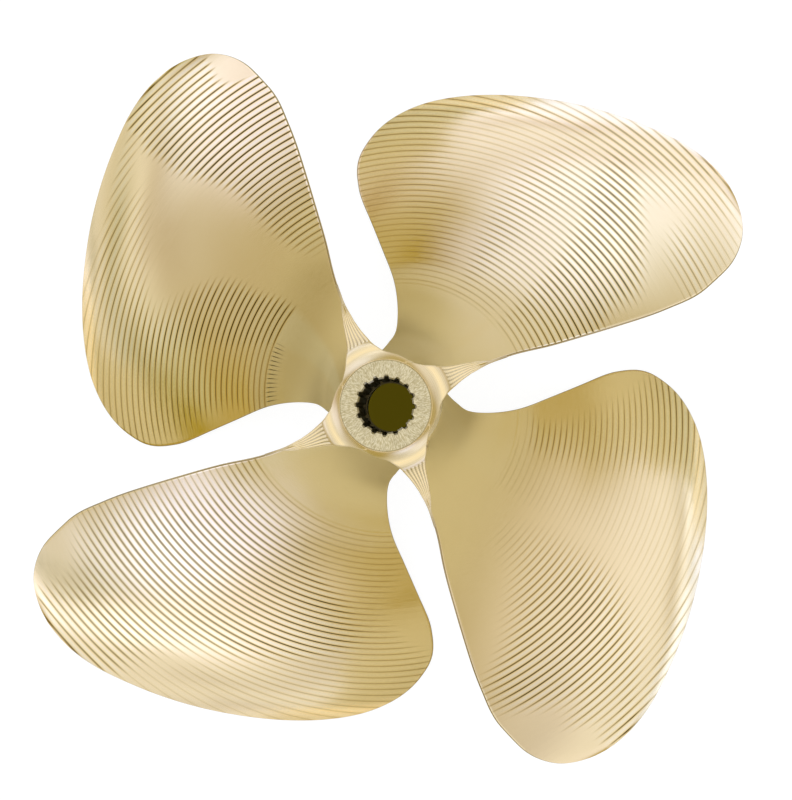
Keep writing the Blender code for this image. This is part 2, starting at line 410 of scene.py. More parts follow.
# One for each blade, in order anticlockwise from the first. The line zones set how deep the lines are cut
# and how dark their painted shade is.
MARKS_AND_PAINTED_LIGHT = (
    MarksAndPaintedLight(
        zones=(
            LineZone((
                (0.118, -0.1, 0.24, 0.06), (0.132, -0.1, 0.26, 0.20), (0.165, -0.1, 0.28, 0.44),
                (0.190, 0.00, 0.28, 0.54), (0.208, 0.06, 0.29, 0.53), (0.235, 0.08, 0.31, 0.47),
                (0.255, 0.16, 0.35, 0.42), (0.275, 0.25, 0.40, 0.34), (0.292, 0.36, 0.46, 0.25),
                (0.306, 0.50, 0.60, 0.10),
            )),
            LineZone((
                (0.118, 0.3, 0.60, 0.06), (0.150, 0.3, 0.58, 0.19), (0.200, 0.3, 0.57, 0.18),
                (0.250, 0.3, 0.56, 0.17), (0.290, 0.3, 0.60, 0.08), (0.350, 0.1, 1.10, 0.06),
            )),
            LineZone((
                (0.262, -0.1, 0.10, 0.0), (0.285, 0.0, 0.16, 0.20), (0.300, 0.0, 0.2, 0.12),
                (0.32, 0.0, 0.3, 0.07),
            )),
            LineZone(((0.118, 0.50, 0.85, 0.02), (0.150, 0.50, 0.85, 0.07), (0.350, 0.25, 0.90, 0.08))),
            LineZone((
                (0.118, 0.6, 1.1, 0.04), (0.250, 0.78, 1.1, 0.14), (0.285, 0.84, 1.1, 0.22),
                (0.31, 0.6, 1.1, 0.09),
            )),
        ),
        tip_highlight=0.3,
    ),
    MarksAndPaintedLight(
        zones=(
            LineZone((
                (0.140, -0.1, 0.07, 0.0), (0.160, -0.1, 0.15, 0.26), (0.185, -0.1, 0.19, 0.40),
                (0.220, -0.1, 0.20, 0.56), (0.250, -0.1, 0.24, 0.80), (0.275, -0.1, 0.31, 0.68),
                (0.296, -0.1, 0.38, 0.58), (0.306, 0.08, 0.45, 0.50), (0.317, 0.14, 0.56, 0.42),
                (0.328, 0.12, 0.65, 0.37), (0.339, 0.05, 0.88, 0.32), (0.350, -0.1, 1.10, 0.24),
            ), soft=0.035),
            LineZone((
                (0.117, 0.34, 0.60, 0.32), (0.133, 0.37, 0.62, 0.52), (0.155, 0.43, 0.64, 0.62),
                (0.177, 0.45, 0.66, 0.54), (0.200, 0.50, 0.68, 0.40), (0.220, 0.58, 0.72, 0.26),
                (0.240, 0.64, 0.80, 0.12),
            )),
            LineZone((
                (0.117, 0.62, 1.1, 0.16), (0.150, 0.62, 0.94, 0.24), (0.190, 0.62, 0.94, 0.29),
                (0.240, 0.66, 1.00, 0.22), (0.275, 0.50, 1.10, 0.13), (0.300, 0.55, 1.10, 0.10),
                (0.312, 0.90, 1.10, 0.00),
            )),
        ),
        chatter=(0.58, 0.99),
    ),
    MarksAndPaintedLight(
        zones=(
            LineZone((
                (0.118, -0.1, 0.60, 0.07), (0.144, 0.05, 0.60, 0.24), (0.166, 0.10, 0.62, 0.38),
                (0.188, 0.09, 0.72, 0.42), (0.225, 0.07, 0.76, 0.40), (0.250, 0.05, 0.62, 0.36),
                (0.275, 0.04, 0.48, 0.29), (0.296, 0.12, 0.46, 0.32), (0.312, 0.19, 0.56, 0.33),
                (0.328, 0.16, 0.72, 0.26), (0.340, 0.08, 0.94, 0.24), (0.350, 0.00, 1.10, 0.28),
            ), soft=0.08),
            LineZone((
                (0.118, 0.6, 1.1, 0.06), (0.20, 0.6, 0.86, 0.13), (0.27, 0.5, 1.1, 0.12),
                (0.31, 0.6, 1.1, 0.04),
            )),
            LineZone(((0.118, -0.1, 0.1, 0.08), (0.24, -0.1, 0.08, 0.10), (0.28, -0.1, 0.05, 0.0))),
        ),
    ),
    MarksAndPaintedLight(
        zones=(
            LineZone((
                (0.140, 0.28, 0.36, 0.00), (0.177, 0.26, 0.42, 0.13), (0.198, 0.20, 0.42, 0.24),
                (0.220, 0.15, 0.42, 0.34), (0.235, 0.10, 0.42, 0.44), (0.250, 0.03, 0.42, 0.43),
                (0.274, 0.05, 0.43, 0.42), (0.288, 0.13, 0.44, 0.40), (0.303, 0.22, 0.50, 0.32),
                (0.317, 0.22, 0.56, 0.25), (0.330, 0.36, 0.62, 0.18), (0.350, 0.30, 0.80, 0.24),
            ), soft=0.08),
            LineZone((
                (0.124, 0.80, 1.0, 0.00), (0.140, 0.75, 0.88, 0.19), (0.190, 0.72, 0.88, 0.15),
                (0.235, 0.74, 0.94, 0.20), (0.275, 0.83, 1.10, 0.25), (0.295, 0.90, 1.10, 0.10),
                (0.350, 0.60, 1.10, 0.12),
            )),
            LineZone(((0.25, 0.5, 0.8, 0.04), (0.30, 0.5, 0.9, 0.06), (0.33, 0.5, 0.9, 0.10))),
        ),
        tip_highlight=0.45,
    ),
)


@dataclass(frozen=True)
class WebForm:
    """Web over each root: a turned collar round the hub's ring, then flutes that fan out along the blade.

    Angles are in degrees, in the frame of the first blade. Heights are measured from the pitch datum. Past
    merge_start the web grows into the blade's own trailing edge, and stands proud of it by a hair.
    """

    inner_radius: float = 0.0385
    outer_radius: float = 0.112
    flutes: int = 6
    columns_each: int = 8
    rows: int = 96
    row_evenness: float = 0.6
    flute_depth: float = 0.0004
    flute_start: float = 0.0572
    flute_full: float = 0.0580
    flute_fade: float = 0.080
    flute_end: float = 0.104
    narrow_flute_share: float = 0.3
    valley_sides: tuple[float, float] = (0.02, 0.10)
    valley_power: float = 1.4
    valley_shade: float = 0.35
    merge_start: float = 0.078
    merge_end: float = 0.100
    merged_width: float = 1.2
    proud: float = 0.0004
    near_side: Table = (
        (0.0385, 67.0), (0.0413, 66.0), (0.0430, 61.0), (0.0445, 55.0), (0.0477, 47.5), (0.0538, 40.1),
        (0.0588, 35.3), (0.0640, 32.5), (0.0735, 29.5), (0.0830, 27.3),
    )
    far_side: Table = (
        (0.0385, -24.0), (0.0413, -25.0), (0.0430, -30.0), (0.0440, -21.0), (0.0459, -5.0),
        (0.0475, 2.0), (0.0505, 7.3), (0.0553, 12.4), (0.0636, 16.7), (0.0709, 19.2), (0.0790, 20.9),
    )
    top: Table = (
        (0.0385, 0.0620), (0.0396, 0.0616), (0.0408, 0.0605), (0.0422, 0.0594), (0.0440, 0.0583),
        (0.0460, 0.0573), (0.0475, 0.0567), (0.0490, 0.0563), (0.0510, 0.0560), (0.0530, 0.0556),
        (0.0550, 0.0549), (0.0566, 0.0539), (0.0580, 0.0526), (0.0640, 0.0510), (0.0730, 0.0500),
        (0.0800, 0.0500),
    )
    keel: Table = (
        (0.0385, 0.045), (0.0500, 0.044), (0.0600, 0.030), (0.0750, 0.012), (0.0900, 0.004), (0.112, 0.0016),
    )
    side_columns: int = 4
    edge_round: float = 0.0012
    fully_round_width: float = 0.01

    def merge(self, radius: float) -> float:
        """How far the web has become the blade's own trailing edge at a radius, from 0 to 1."""
        return smooth_step(self.merge_start, self.merge_end, radius)

    def gate(self, radius: float) -> float:
        """How fully the flutes are cut at a radius, from 0 to 1."""
        rise = smooth_step(self.flute_start, self.flute_full, radius)
        return rise * (1 - smooth_step(self.flute_fade, self.flute_end, radius))

    def valley(self, across: float) -> float:
        """Depth of the flutes across the web, 1 in the line between two and 0 on their backs."""
        edge = smooth_step(*self.valley_sides, min(across, 1 - across))
        return edge * (1 - abs(math.sin(math.pi * self.flutes * across))) ** self.valley_power


class Workshop:
    """Steps that every piece goes through, whatever its form."""

    SMOOTH_LIMIT = math.radians(30)

    @staticmethod
    def step(place: float, steps: int) -> int:
        """Which step of a laid grid a place from -1 to 1 stands for."""
        return round((place + 1) / 2 * steps)

    @staticmethod
    def close_up(data: bmesh.types.BMesh, distance: float = 0.000004) -> None:
        """Merges a seam, caps open ends and turns the faces outwards.

        Args:
            data: The mesh to finish.
            distance: Points closer than this become one.
        """
        bmesh.ops.remove_doubles(data, verts=data.verts, dist=distance)
        bmesh.ops.dissolve_degenerate(data, edges=data.edges, dist=distance / 10)
        rims = [edge for edge in data.edges if edge.is_boundary]
        if rims:
            bmesh.ops.holes_fill(data, edges=rims, sides=0)
        bmesh.ops.recalc_face_normals(data, faces=data.faces)

    @classmethod
    def piece(cls, name: str, data: bmesh.types.BMesh) -> bpy.types.Object:
        """Makes the object of a piece, smooth but for its real corners.

        Args:
            name: Name of the piece.
            data: Its mesh, which is used up.

        Returns:
            The new object, at the origin.
        """
        mesh = bpy.data.meshes.new(name)
        data.to_mesh(mesh)
        data.free()
        mesh.polygons.foreach_set("use_smooth", [True] * len(mesh.polygons))
        mesh.set_sharp_from_angle(angle=cls.SMOOTH_LIMIT)
        made = bpy.data.objects.new(name, mesh)
        bpy.context.scene.collection.objects.link(made)
        return made

    @classmethod
    def turned_piece(cls, name: str, data: bmesh.types.BMesh, number: int, count: int) -> bpy.types.Object:
        """Turns a mesh from the first blade's place to a later one and makes its piece.

        Args:
            name: Name of the piece, without its number.
            data: Its mesh, which is used up.
            number: The place, counted anticlockwise from 0.
            count: Number of blades.

        Returns:
            The new object.
        """
        turn = Matrix.Rotation(math.tau * number / count, 3, "Z")
        bmesh.ops.rotate(data, verts=data.verts, cent=(0, 0, 0), matrix=turn)
        return cls.piece(f"{name}_{number + 1}", data)

    @staticmethod
    def hand_over(piece: bpy.types.Object) -> None:
        """Puts a finished piece on its body, in place of the CAD casting, and reports it.

        Args:
            piece: The piece to hand over.
        """
        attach(piece, BODY)
        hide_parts(CAD_NODE)
        LOG.info("%s: %d faces", piece.name, len(piece.data.polygons))


@dataclass(frozen=True)
class Column:
    """One line of mesh points that runs from the root to the tip."""

    zone: Zone
    share: float


@dataclass
class Blade:
    """The skin of one blade, laid as a grid round its sections from inside the hub to the tip."""

    form: BladeForm
    hub: HubForm
    passes: MilledPasses
    face_columns: int = 80
    back_columns: int = 48
    edge_columns: int = 8
    end_columns: int = 16
    root_height: float = 0.010
    root_base: float = 0.052
    root_rows: int = 44
    root_sink: float = 0.003
    neck_step: float = 0.00125
    start_gap: float = 0.0003
    start_rows: tuple[float, ...] = (-0.0002, 0.0002, 0.0012)
    tip_rows: tuple[float, ...] = (0.3491, 0.3495, 0.34975, 0.3499, 0.34997, 0.3500)
    evenness: float = 0.45
    settling_rounds: int = 4
    columns: list[Column] = field(default_factory=list)

    def spread(self, step: int, steps: int) -> float:
        """Share of the chord at a step, with the steps closer at both ends.

        Args:
            step: Number of the step, from 0.
            steps: How many there are.

        Returns:
            The share, from 0 to 1.
        """
        even = step / steps
        return self.evenness * even + (1 - self.evenness) * (1 - math.cos(math.pi * even)) / 2

    def plan_columns(self) -> None:
        """Lists the columns round a section, from the trailing edge along the face and back."""
        faces, backs, edges = self.face_columns, self.back_columns, self.edge_columns
        self.columns = [Column(Zone.FACE, self.spread(k, faces)) for k in range(faces + 1)]
        self.columns += [Column(Zone.LEADING_EDGE, k / edges) for k in range(1, edges)]
        self.columns += [Column(Zone.BACK, 1 - self.spread(k, backs)) for k in range(backs + 1)]
        self.columns += [
            Column(Zone.TRAILING_END, (1 + math.cos(math.pi * k / self.end_columns)) / 2)
            for k in range(1, self.end_columns)
        ]
        self.columns.append(Column(Zone.FACE, 0.0))

    def plan_rows(self) -> list[tuple[float, float]]:
        """Lists the rows from the root to the tip.

        Returns:
            Each row as (height over the barrel, radius), with a radius of 0 in the root.
        """
        rows = [(-self.root_sink, 0.0)]
        rows += [(self.root_height * (k / self.root_rows) ** 2, 0.0) for k in range(self.root_rows + 1)]
        radius = self.root_base + self.root_height + self.neck_step
        while radius < self.passes.start - self.start_gap:
            rows.append((radius - self.root_base, radius))
            radius += self.neck_step
        start = [self.passes.start + gap for gap in self.start_rows]
        for radius in start + self.passes.row_radii() + list(self.tip_rows):
            rows.append((radius - self.root_base, radius))
        return rows

    @staticmethod
    def fillet_spread(fillet: float, height: float) -> float:
        """How far a round fillet stands out at a height over the barrel.

        Args:
            fillet: Radius of the fillet, in metres.
            height: Height over the barrel, in metres.

        Returns:
            The spread in metres.
        """
        left = fillet - min(max(height, 0.0), fillet)
        return fillet - math.sqrt(fillet * fillet - left * left)

    def skin(self, section: Section, height: float, share: float) -> tuple[float, float, float]:
        """Face and back of a section at a chord share, with the root fillets.

        Args:
            section: The section.
            height: Its height over the barrel.
            share: The chord share.

        Returns:
            Distance along the chord, offset of the face and offset of the back, in metres.
        """
        form = self.form
        back = self.fillet_spread(form.back_fillet, height)
        lead = self.fillet_spread(form.leading_fillet, height)
        front = self.fillet_spread(form.face_fillet, height)
        bulge = max(4 * share * (1 - share), 0.0) ** form.bulge_power
        edge = form.trailing_thickness * (1 - share) + form.leading_thickness * share
        low = 4 * section.hollow * share * (1 - share)
        change = smooth_step(*form.fillet_change, share)
        kept = form.trailing_fillet_share + (1 - form.trailing_fillet_share) * change
        spread = back * kept * (1 - share**3) + lead * share**3
        high = low + edge + (section.thickness - edge) * bulge + spread
        return share * (section.chord + lead), low - front * share, high

    def outline_point(self, column: Column, section: Section, height: float) -> tuple[float, float]:
        """Place of one point in its section, before the passes are cut.

        Args:
            column: The point's column.
            section: The point's section.
            height: Height of the section over the barrel.

        Returns:
            Distance along the chord and offset towards the back, in metres.
        """
        form = self.form
        if column.zone is Zone.FACE:
            along, offset, _ = self.skin(section, height, column.share)
        elif column.zone is Zone.BACK:
            along, _, offset = self.skin(section, height, column.share)
        elif column.zone is Zone.LEADING_EDGE:
            along, start, end = self.skin(section, height, 1.0)
            turn = math.pi * column.share
            along += form.leading_roundness * (end - start) * math.sin(turn)
            offset = start + (end - start) * (1 - math.cos(turn)) / 2
        else:
            along, start, end = self.skin(section, height, 0.0)
            share = column.share
            along -= form.trailing_roundness * (end - start) * 2 * math.sqrt(share * (1 - share))
            offset = start + (end - start) * share
        return along, offset

    def place(
        self, column: Column, height: float, radius: float, known: Section | None
    ) -> tuple[Vector, Vector, Section]:
        """Place of one point of the skin, before the passes are cut.

        Args:
            column: The point's column.
            height: Height of its row over the barrel.
            radius: Radius of its row, or 0 in the root, where the row follows the barrel.
            known: The row's section, where it is the same all round.

        Returns:
            The point, the way from face to back there, and the section it is on.
        """
        section = known
        reach = radius or self.root_base + max(height, 0.0)
        for _ in range(1 if section else self.settling_rounds):
            here = section or self.form.section(reach, self.hub)
            along, offset = self.outline_point(column, here, height)
            tip = self.form.tip_share(here.radius)
            if tip < 1:
                middle = self.form.trailing_thickness / 2
                offset = middle + (offset - middle) * tip
                along *= tip if here.chord <= 0 else 1
            up = here.trailing_height - along * here.sine - offset * here.cosine
            if section is None:
                barrel = self.hub.radius_at(up - self.hub.datum_height)
                grown = (self.root_base + self.root_height - barrel) / self.root_height
                reach = barrel + (height * grown if height > 0 else height)
        angle = here.trailing + (along * here.cosine - offset * here.sine) / here.radius
        point = Vector((here.radius * math.cos(angle), here.radius * math.sin(angle), up))
        inward = Vector((math.sin(angle) * here.sine, -math.cos(angle) * here.sine, -here.cosine))
        return point, inward, here

    def build(self) -> bmesh.types.BMesh:
        """Lays the skin of the first blade, before the passes are cut.

        Returns:
            Its closed mesh, with a map of (chord share, zone) in each face corner. Each point keeps its
            radius, chord share and zone, its distance to the nearer edge, and the way that the passes
            are cut into it.
        """
        self.plan_columns()
        rows = self.plan_rows()
        data = bmesh.new()
        across, up = len(self.columns) - 1, len(rows) - 1
        bmesh.ops.create_grid(data, x_segments=across, y_segments=up, size=1.0)
        layer = data.loops.layers.uv.new(LAY)
        for face in data.faces:
            middle = face.calc_center_median()
            zone = self.columns[int((middle.x + 1) / 2 * across) + 1].zone
            for loop in face.loops:
                column = self.columns[Workshop.step(loop.vert.co.x, across)]
                if column.zone is zone:
                    share = column.share
                elif zone in (Zone.FACE, Zone.BACK):
                    share = float(column.zone is Zone.LEADING_EDGE)
                else:
                    share = 1.0
                loop[layer].uv = (share, zone.value)
        sections = [self.form.section(radius, self.hub) if radius else None for _, radius in rows]
        spot = data.verts.layers.float_vector.new("spot")
        inward = data.verts.layers.float_vector.new("inward")
        margin = data.verts.layers.float.new("margin")
        for point in data.verts:
            column = self.columns[Workshop.step(point.co.x, across)]
            row = Workshop.step(point.co.y, up)
            point.co, way, section = self.place(column, *rows[row], sections[row])
            point[spot] = Vector((section.radius, column.share, column.zone.value))
            point[inward] = -way if column.zone is Zone.BACK else way
            point[margin] = min(column.share, 1 - column.share) * max(section.chord, 0.0)
        Workshop.close_up(data)
        return data

    def dress(self, data: bmesh.types.BMesh, marks_and_light: MarksAndPaintedLight) -> None:
        """Cuts the passes into one blade and notes the painted shade of its lines, its chatter marks and its
        painted highlight.

        Args:
            data: The blade's mesh, which is changed.
            marks_and_light: Its marks and painted light: how clearly the passes are cut and shaded, and
                where it has chatter marks and painted highlight.
        """
        numbers, vectors = data.verts.layers.float, data.verts.layers.float_vector
        spot, inward, margin = vectors["spot"], vectors["inward"], numbers["margin"]
        line_shade, chatter_and_valley_shade, painted_highlight = [numbers.new(name) for name in (LINE_SHADE, CHATTER_AND_SHADE, PAINTED_HIGHLIGHT)]
        spans: dict[float, list[Span]] = {}
        for point in data.verts:
            radius, share, zone = point[spot]
            if zone in (Zone.FACE.value, Zone.LEADING_EDGE.value):
                point[painted_highlight] = marks_and_light.highlight_at(radius, share, zone)
            if zone == Zone.FACE.value:
                row = round(radius, 6)
                if row not in spans:
                    spans[row] = marks_and_light.spans(radius)
                strength = marks_and_light.strength(spans[row], share)
                point[chatter_and_valley_shade] = marks_and_light.chatter_at(radius, share)
            elif zone == Zone.BACK.value:
                strength = marks_and_light.back_strength
            else:
                continue
            fade = smooth_step(0, self.passes.edge_fade, point[margin])
            point.co += point[inward] * self.passes.depth_at(radius, strength) * fade
            # painted shade in the cutter lines, darker where they show more clearly
            point[line_shade] = self.passes.darkness(strength)
        for layers, name in ((vectors, "spot"), (vectors, "inward"), (numbers, "margin")):
            layers.remove(layers[name])

    def build_all(self, marks_and_lights: tuple[MarksAndPaintedLight, ...]) -> list[bpy.types.Object]:
        """Makes all the blades, each turned round the shaft axis from the first, with its own marks and
        painted light.

        Args:
            marks_and_lights: The marks and painted light of each blade, in order anticlockwise.

        Returns:
            The blades in the same order.
        """
        first = self.build()
        made = []
        for number, marks_and_light in enumerate(marks_and_lights):
            data = first.copy()
            self.dress(data, marks_and_light)
            made.append(Workshop.turned_piece("blade", data, number, len(marks_and_lights)))
        first.free()
        return made


@dataclass
class RootWeb:
    """The webs that join each trailing edge to the hub, with the turned collar and the flutes on top."""

    form: WebForm
    blade: BladeForm
    hub: HubForm

    def sides(self, radius: float) -> tuple[float, float]:
        """Angles of the web's two sides at a radius.

        Args:
            radius: Distance from the shaft axis, in metres.

        Returns:
            Angle on the face's side and angle on the back's side, in radians.
        """
        form = self.form
        section = self.blade.section(radius, self.hub)
        merge = form.merge(radius)
        near = math.radians(table_value(form.near_side, radius))
        far = math.radians(table_value(form.far_side, radius))
        wide = self.blade.trailing_thickness * form.merged_width * section.sine / radius
        return near + (section.trailing - near) * merge, far + (section.trailing - wide - far) * merge

    def top_height(self, radius: float) -> float:
        """Height of the web's top over the pitch datum, before the flutes are cut.

        Args:
            radius: Distance from the shaft axis, in metres.

        Returns:
            The height in metres.
        """
        form = self.form
        own = self.blade.section(radius, self.hub).trailing_height - self.hub.datum_height + form.proud
        top = table_value(form.top, radius)
        return top + (own - top) * form.merge(radius)

    def place(self, across: float, level: float, radius: float) -> tuple[Vector, float]:
        """Place of a point of the web.

        Args:
            across: Share of the way from the face's side to the back's side.
            level: 0 on the top, and up to 1 at the keel below.
            radius: Distance from the shaft axis, in metres.

        Returns:
            The point, and how dark the painted shade in its flute valley is.
        """
        form = self.form
        near, far = self.sides(radius)
        width = abs(near - far) * radius
        edge = min(across, 1 - across) * width
        rounding = form.edge_round * (1 - math.sqrt(1 - max(1 - edge / form.edge_round, 0.0) ** 2))
        depth = min(form.flute_depth, form.narrow_flute_share * width / form.flutes)
        valley = form.valley(across) * form.gate(radius)
        up = self.top_height(radius) - rounding * min(width / form.fully_round_width, 1.0) - depth * valley
        up -= level * table_value(form.keel, radius)
        share = across + (0.5 - across) * level
        angle = near + (far - near) * share
        point = Vector((radius * math.cos(angle), radius * math.sin(angle), up + self.hub.datum_height))
        return point, 0.0 if level else form.valley_shade * valley

    def build(self) -> bmesh.types.BMesh:
        """Lays the web of the first blade.

        Returns:
            Its closed mesh.
        """
        form = self.form
        wide = form.flutes * form.columns_each
        columns = [(k / wide, 0.0) for k in range(wide + 1)]
        columns += [(1.0, k / form.side_columns) for k in range(1, form.side_columns)]
        columns += [(0.0, 1 - k / form.side_columns) for k in range(form.side_columns + 1)]
        data = bmesh.new()
        across, up = len(columns) - 1, form.rows
        bmesh.ops.create_grid(data, x_segments=across, y_segments=up, size=1.0)
        layer = data.loops.layers.uv.new(LAY)
        for face in data.faces:
            for loop in face.loops:
                loop[layer].uv = (0.0, Zone.TRAILING_END.value)
        chatter_and_valley_shade = data.verts.layers.float.new(CHATTER_AND_SHADE)
        for point in data.verts:
            share, level = columns[Workshop.step(point.co.x, across)]
            even = (point.co.y + 1) / 2
            way = form.row_evenness * even + (1 - form.row_evenness) * even**2
            radius = form.inner_radius + (form.outer_radius - form.inner_radius) * way
            point.co, point[chatter_and_valley_shade] = self.place(share, level, radius)
        Workshop.close_up(data)
        return data

    def build_all(self, count: int) -> list[bpy.types.Object]:
        """Makes all the webs, each turned round the shaft axis from the first.

        Args:
            count: Number of blades.

        Returns:
            The webs, in order anticlockwise.
        """
        first = self.build()
        made = [Workshop.turned_piece("root_web", first.copy(), number, count) for number in range(count)]
        first.free()
        return made


class HubFinish(Enum):
    """Which finish a face of the hub has, in the order of its materials."""

    BARREL = 0
    RING = 1
    BORE = 2


@dataclass
class Hub:
    """The hub: tapered barrel, flat ring round the splined socket, and the plain bore below it."""

    form: HubForm
    steps: int = 384
    barrel_rows: int = 64
    face_rows: int = 18
    socket_rows: int = 20
    taper_rows: int = 4
    face_roughness: float = 0.00004
    streak_turn: float = 24
    streak_reach: float = 90
    streak_start: float = 3.1
    rim: Table = ((0.0387, 0.0640), (0.0390, 0.06392), (0.0393, 0.0635), (0.0396, 0.0630))
    foot_rim: Table = ((0.0478, 0.0007), (0.0466, 0.0))
    seam: float = 0.0000005
    slack: float = 0.0001
    ring_depth: float = 0.0012
    ring_margin: float = 0.0006
    bore_margin: float = 0.0003

    def profile(self) -> list[tuple[float, float]]:
        """Half section of the hub, closed, from the socket's mouth outwards and round.

        Returns:
            Points as (radius, height over the pitch datum).
        """
        form = self.form
        mouth = form.land_radius + form.mouth_chamfer
        inner = form.groove_radius + 2 * form.mouth_chamfer
        floor = form.top - form.socket_length
        points = [(mouth, form.top)]
        points += [
            (inner + (self.rim[0][0] - inner) * k / self.face_rows, form.top) for k in range(self.face_rows)
        ]
        points += list(self.rim)
        high, foot = form.barrel[-1][0], form.barrel[0][0]
        for k in range(self.barrel_rows + 1):
            height = high + (foot - high) * k / self.barrel_rows
            points.append((form.radius_at(height), height))
        low = form.bottom + form.mouth_chamfer
        points += [(radius, form.bottom + height) for radius, height in self.foot_rim]
        points.append((form.mouth_radius + form.mouth_chamfer, form.bottom))
        taper, rows = form.plain_radius - form.mouth_radius, self.taper_rows
        points += [
            (form.mouth_radius + taper * k / rows, low + (floor - low) * k / rows) for k in range(rows + 1)
        ]
        depth = form.top - form.mouth_chamfer
        points += [
            (form.land_radius, floor + (depth - floor) * k / self.socket_rows)
            for k in range(self.socket_rows + 1)
        ]
        return points

    def build(self) -> bpy.types.Object:
        """Turns the hub round the shaft axis and cuts the socket's grooves.

        Returns:
            The hub piece.
        """
        form = self.form
        data = bmesh.new()
        turn = Matrix.Rotation(form.first_groove, 3, "Z")
        ring = [
            data.verts.new(turn @ Vector((radius, 0, height + form.datum_height)))
            for radius, height in self.profile()
        ]
        edges = [data.edges.new((a, b)) for a, b in zip(ring, ring[1:] + ring[:1])]
        shaft = {"cent": (0, 0, 0), "axis": (0, 0, 1), "dvec": (0, 0, 0)}
        bmesh.ops.spin(data, geom=ring + edges, **shaft, angle=math.tau, steps=self.steps, use_merge=True)
        Workshop.close_up(data, self.seam)
        slack = self.slack
        floor = form.top_level - form.socket_length
        mouth = form.land_radius + form.mouth_chamfer
        for point in data.verts:
            radius = math.hypot(point.co.x, point.co.y)
            angle = math.atan2(point.co.y, point.co.x)
            splined = form.plain_radius + slack < radius < mouth + slack
            if splined and point.co.z > floor - slack:
                scale = (radius + form.groove_depth(angle)) / radius
                point.co.x *= scale
                point.co.y *= scale
            elif radius < form.face_radius - slack and point.co.z > form.top_level - slack:
                place = (angle * self.streak_turn, radius * self.streak_reach, self.streak_start)
                streak = noise.noise(Vector(place))
                point.co.z -= self.face_roughness * (0.5 + streak)
        return Workshop.piece("hub", data)

    def dress(self, piece: bpy.types.Object, finishes: dict[HubFinish, bpy.types.Material]) -> None:
        """Gives the barrel, the ring round the socket and the bore their finishes.

        Args:
            piece: The hub piece.
            finishes: The material of each part.
        """
        form = self.form
        for part in HubFinish:
            piece.data.materials.append(finishes[part])
        for polygon in piece.data.polygons:
            reach = math.hypot(polygon.center.x, polygon.center.y)
            high = polygon.center.z > form.top_level - self.ring_depth
            if high and reach < form.face_radius + self.ring_margin:
                polygon.material_index = HubFinish.RING.value
            elif reach < form.groove_radius + self.bore_margin:
                polygon.material_index = HubFinish.BORE.value


class Web:
    """Adds nodes to one shader tree and joins them."""

    def __init__(self, tree: bpy.types.NodeTree) -> None:
        """Starts on a tree, which keeps what it holds."""
        self.tree = tree

    def add(self, kind: str, inputs: dict | None = None, **settings: object) -> bpy.types.Node:
        """Adds a node.

        Args:
            kind: Blender's name for the node, without its ShaderNode prefix.
            inputs: Values or sockets for its inputs, by name or number.
            settings: Values of the node's own settings.

        Returns:
            The node.
        """
        node = self.tree.nodes.new(kind if kind.startswith("Node") else "ShaderNode" + kind)
        for name, value in settings.items():
            setattr(node, name, value)
        for key, value in (inputs or {}).items():
            self.give(node.inputs[key], value)
        return node

    def give(self, socket: bpy.types.NodeSocket, value: object) -> None:
        """Joins an input to a socket, or sets it to a plain value.

        Args:
            socket: The input.
            value: What it gets.
        """
        if isinstance(value, bpy.types.NodeSocket):
            self.tree.links.new(value, socket)
        else:
            socket.default_value = value

    def sum(self, operation: str, *values: object) -> bpy.types.NodeSocket:
        """Result of one step of arithmetic.

        Args:
            operation: Name of the step, such as ADD.
            values: Numbers or sockets.

        Returns:
            The result.
        """
        return self.add("Math", dict(enumerate(values)), operation=operation).outputs[0]

    def vector(self, operation: str, *values: object) -> bpy.types.NodeSocket:
        """Result of one step of vector arithmetic.

        Args:
            operation: Name of the step, such as MULTIPLY.
            values: Vectors or sockets.

        Returns:
            The result: a number for LENGTH, or else a vector.
        """
        node = self.add("VectorMath", dict(enumerate(values)), operation=operation)
        return node.outputs["Value" if operation == "LENGTH" else "Vector"]

    def ramp(self, value: object, low: float, high: float, start: float = 0.0, end: float = 1.0) -> object:
        """Smooth change of a value from start at low to end at high.

        Args:
            value: The number or socket to read.
            low: Where the change begins.
            high: Where it ends.
            start: Value before it.
            end: Value after it.

        Returns:
            The result.
        """
        if low > high:
            low, high, start, end = high, low, end, start
        limits = {"Value": value, "From Min": low, "From Max": high, "To Min": start, "To Max": end}
        return self.add("MapRange", limits, interpolation_type="SMOOTHSTEP").outputs["Result"]

    def blend(self, share: object, first: object, second: object) -> object:
        """Mix of two colours.

        Args:
            share: How much of the second.
            first: Colour or socket.
            second: Colour or socket.

        Returns:
            The mixed colour.
        """
        inputs = {0: share, 6: self.opaque(first), 7: self.opaque(second)}
        return self.add("Mix", inputs, data_type="RGBA").outputs[2]

    @staticmethod
    def opaque(colour: object) -> object:
        """A colour with its fourth value, or a socket as it is."""
        return colour if isinstance(colour, bpy.types.NodeSocket) else (*colour, 1.0)

    def place(self) -> object:
        """Place on the piece itself, in metres."""
        return self.add("TexCoord").outputs["Object"]

    def noted(self, name: str) -> object:
        """Value of one of the piece's point attributes."""
        return self.add("Attribute", attribute_name=name).outputs["Fac"]

    def split(self, vector: object) -> object:
        """The three numbers of a vector, under X, Y and Z."""
        return self.add("SeparateXYZ", {0: vector}).outputs

    def joined(self, x: object, y: object, z: object = 0.0) -> object:
        """A vector from three numbers or sockets."""
        return self.add("CombineXYZ", {"X": x, "Y": y, "Z": z}).outputs[0]


